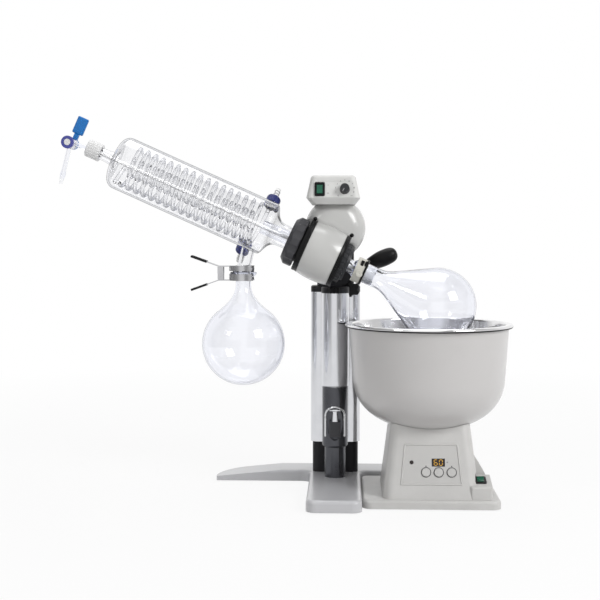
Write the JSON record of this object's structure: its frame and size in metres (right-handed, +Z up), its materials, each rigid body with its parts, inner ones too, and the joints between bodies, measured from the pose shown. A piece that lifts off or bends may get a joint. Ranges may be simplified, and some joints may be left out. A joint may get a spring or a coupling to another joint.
{
  "type": "rotary evaporator",
  "caption": "Bench rotary evaporator with hand lift, tilting drive head, diagonal coil condenser, receiving and evaporating flasks and a heated water bath.",
  "frame": {"origin": "on the bench, at the centre of the foot under the column", "axes": "+Z up, +X from the column to the bath and the evaporating flask, +Y away from the operator"},
  "size_m": [0.7123, 0.296, 0.6],
  "materials": {
    "base_enamel": "light grey enamel",
    "rubber_feet": "black rubber",
    "black_column": "black anodised",
    "guide_metal": "dark grey metallic",
    "spring_steel": "ground steel",
    "sleeve_aluminium": "satin anodised",
    "black_plastic": "black",
    "white_plastic": "white",
    "head_enamel": "light grey gloss",
    "box_plastic": "light grey",
    "charcoal_plastic": "charcoal",
    "belt_rubber": "belt",
    "clear_glass": "clear borosilicate",
    "navy_plastic": "navy blue",
    "blue_plastic": "bright blue",
    "clip_plastic": "cream",
    "green_plastic": "translucent green",
    "clamp_steel": "bent sheet",
    "bath_plastic": "light grey",
    "bowl_enamel": "light grey enamel",
    "stainless": "stainless",
    "display_dark": "dark window",
    "lamp_red": "red lens"
  },
  "bodies": {
    "stand": {"base_casting": "base_enamel", "base_feet": "rubber_feet", "column_core": "black_column", "guide_tube": "guide_metal", "gas_spring_tube": "spring_steel"},
    "lift": {"lift_sleeve": "sleeve_aluminium", "tilt_bracket": "black_plastic", "glide_bush": "white_plastic", "gas_spring_rod": "spring_steel", "handle_housing": "guide_metal", "pivot_bolt": "spring_steel", "side_grip": "black_plastic"},
    "release_lever": {"release_lever": "black_plastic"},
    "tilt_knob": {"tilt_knob": "black_plastic"},
    "head": {"head_housing": "head_enamel", "rear_cover": "head_enamel", "control_box": "box_plastic", "control_panel": "box_plastic", "power_switch_frame": "black_plastic", "flange_ring": "charcoal_plastic", "drive_motor": "spring_steel", "drive_belt": "belt_rubber", "hub_bearings": "spring_steel", "vacuum_seal": "white_plastic", "condenser_jacket": "clear_glass", "cooling_coil": "clear_glass", "feed_tube": "white_plastic", "end_cap": "white_plastic", "hose_caps": "navy_plastic", "hose_tails": "white_plastic", "stopcock_body": "clear_glass", "receiving_flask": "clear_glass"},
    "handwheel": {"handwheel": "charcoal_plastic"},
    "rotor": {"drive_hub": "spring_steel", "clamp_nut": "charcoal_plastic", "vapour_tube": "clear_glass", "joint_clip": "clip_plastic", "evaporating_flask": "clear_glass"},
    "motor_pulley": {"motor_pulley": "spring_steel"},
    "speed_knob": {"speed_knob": "black_plastic"},
    "power_rocker": {"power_rocker": "green_plastic"},
    "stopcock_key": {"stopcock_plug": "white_plastic", "stopcock_nut": "navy_plastic", "stopcock_handle": "blue_plastic"},
    "clamp_upper": {"clamp_jaw_upper": "clamp_steel"},
    "clamp_lower": {"clamp_jaw_lower": "clamp_steel"},
    "bath": {"bath_housing": "bath_plastic", "bath_bowl": "bowl_enamel", "bath_liner": "stainless", "bath_heater": "spring_steel", "temperature_probe": "spring_steel", "bath_panel": "box_plastic", "display_window": "display_dark", "status_lamp": "lamp_red", "bath_switch_frame": "black_plastic", "bath_feet": "rubber_feet"},
    "bath_rocker": {"bath_rocker": "green_plastic"},
    "bath_button_1": {"bath_button_1": "box_plastic"},
    "bath_button_2": {"bath_button_2": "box_plastic"},
    "bath_button_3": {"bath_button_3": "box_plastic"}
  },
  "joints": [
    {"name": "lift_slide", "type": "slide", "parent": "stand", "child": "lift", "axis": [0, 0, 1], "range_m": [-0.045, 0.1]},
    {"name": "release_lever_pull", "type": "hinge", "parent": "lift", "child": "release_lever", "pos_m": [0, -0.051, 0.131], "axis": [-1, 0, 0], "range_deg": [0, 20], "stiffness_Nm_per_rad": 0.15},
    {"name": "tilt_knob_turn", "type": "hinge", "parent": "lift", "child": "tilt_knob", "pos_m": [0.027, 0.0047, 0.323], "axis": [0, -1, 0], "range_deg": [0, 180]},
    {"name": "head_tilt", "type": "hinge", "parent": "lift", "child": "head", "pos_m": [0, 0, 0.422], "axis": [0, 1, 0], "range_deg": [-15, 10]},
    {"name": "handwheel_turn", "type": "hinge", "parent": "head", "child": "handwheel", "pos_m": [0, -0.07, 0.3727], "axis": [0.9114, 0, -0.4115], "range_deg": [0, 90]},
    {"name": "rotor_spin", "type": "hinge", "parent": "head", "child": "rotor", "pos_m": [0, -0.07, 0.3727], "axis": [0.9114, 0, -0.4115], "continuous": true},
    {"name": "motor_spin", "type": "hinge", "parent": "head", "child": "motor_pulley", "pos_m": [-0.00609, -0.02, 0.42482], "axis": [0.9114, 0, -0.4115], "continuous": true},
    {"name": "speed_knob_turn", "type": "hinge", "parent": "head", "child": "speed_knob", "pos_m": [0.015, -0.08324, 0.482], "axis": [0, 0.9781, -0.2079], "range_deg": [0, 270]},
    {"name": "power_rocker_press", "type": "hinge", "parent": "head", "child": "power_rocker", "pos_m": [-0.024, -0.08324, 0.482], "axis": [-1, 0, 0], "range_deg": [0, 14]},
    {"name": "stopcock_turn", "type": "hinge", "parent": "head", "child": "stopcock_key", "pos_m": [-0.4177, -0.07, 0.5559], "axis": [0, 1, 0], "range_deg": [-90, 0]},
    {"name": "clamp_open", "type": "hinge", "parent": "head", "child": "clamp_upper", "pos_m": [-0.18, -0.07, 0.351], "axis": [0, -1, 0], "range_deg": [0, 8], "stiffness_Nm_per_rad": 0.4},
    {"name": "clamp_open_lower", "type": "hinge", "parent": "head", "child": "clamp_lower", "pos_m": [-0.18, -0.07, 0.351], "axis": [0, 1, 0], "range_deg": [0, 8]},
    {"name": "bath_slide", "type": "slide", "parent": "stand", "child": "bath", "axis": [1, 0, 0], "range_m": [0, 0.06]},
    {"name": "bath_rocker_press", "type": "hinge", "parent": "bath", "child": "bath_rocker", "pos_m": [0.221, -0.147, 0.04], "axis": [-1, 0, 0], "range_deg": [0, 14]},
    {"name": "bath_button_1_press", "type": "slide", "parent": "bath", "child": "bath_button_1", "axis": [0, 0.9744, -0.225], "range_m": [0, 0.0012], "stiffness_N_per_m": 400},
    {"name": "bath_button_2_press", "type": "slide", "parent": "bath", "child": "bath_button_2", "axis": [0, 0.9744, -0.225], "range_m": [0, 0.0012], "stiffness_N_per_m": 400},
    {"name": "bath_button_3_press", "type": "slide", "parent": "bath", "child": "bath_button_3", "axis": [0, 0.9744, -0.225], "range_m": [0, 0.0012], "stiffness_N_per_m": 400}
  ],
  "couplings": [
    {"joint": "motor_spin", "follows": "rotor_spin", "ratio": 2.8889},
    {"joint": "clamp_open_lower", "follows": "clamp_open", "ratio": 1}
  ]
}
